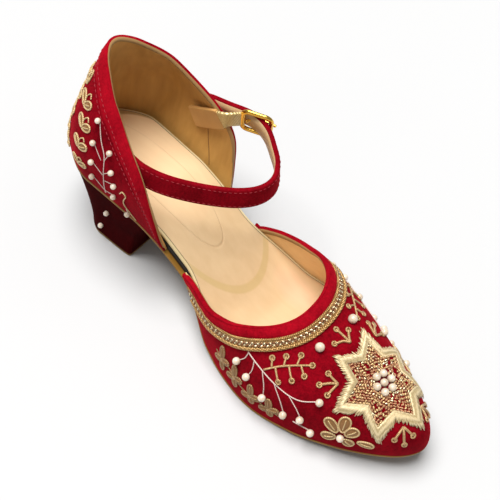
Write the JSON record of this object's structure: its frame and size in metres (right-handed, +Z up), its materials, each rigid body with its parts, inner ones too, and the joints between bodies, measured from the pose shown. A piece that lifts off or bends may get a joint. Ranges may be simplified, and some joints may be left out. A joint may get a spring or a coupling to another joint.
{
  "type": "block heel shoe",
  "caption": "Closed toe two piece court shoe with open sides, covered block heel, separate heel counter, buckled ankle strap, throat braid and star overlay on the toe.",
  "frame": {"origin": "on the floor under the middle of the shoe's box", "axes": "+X from the heel to the toe, +Y to the outer side of the left foot, +Z up"},
  "size_m": [0.245, 0.0948, 0.1196],
  "materials": {
    "outsole": "thin tan sole with a gold brown edge",
    "board": "black edged insole board",
    "sock": "smooth beige lining leather",
    "heel_velvet": "deep red velvet stretched over the block",
    "top_piece": "matt brown rubber",
    "velvet": "red velvet with a short nap",
    "braid": "gold metallic cords and beads",
    "star_thread": "champagne satin stitch and gold bullion",
    "buckle": "polished gold plate",
    "elastic": "woven gold glitter elastic"
  },
  "bodies": {
    "root": {"outsole": "outsole", "insole_board": "board", "insole": "sock", "heel_block": "heel_velvet", "heel_top_piece": "top_piece", "vamp": "velvet", "counter": "velvet", "throat_braid": "braid", "star_motif": "star_thread", "ankle_strap": "velvet", "buckle_frame": "buckle", "buckle_prong": "buckle", "buckle_tab": "elastic"}
  },
  "joints": []
}
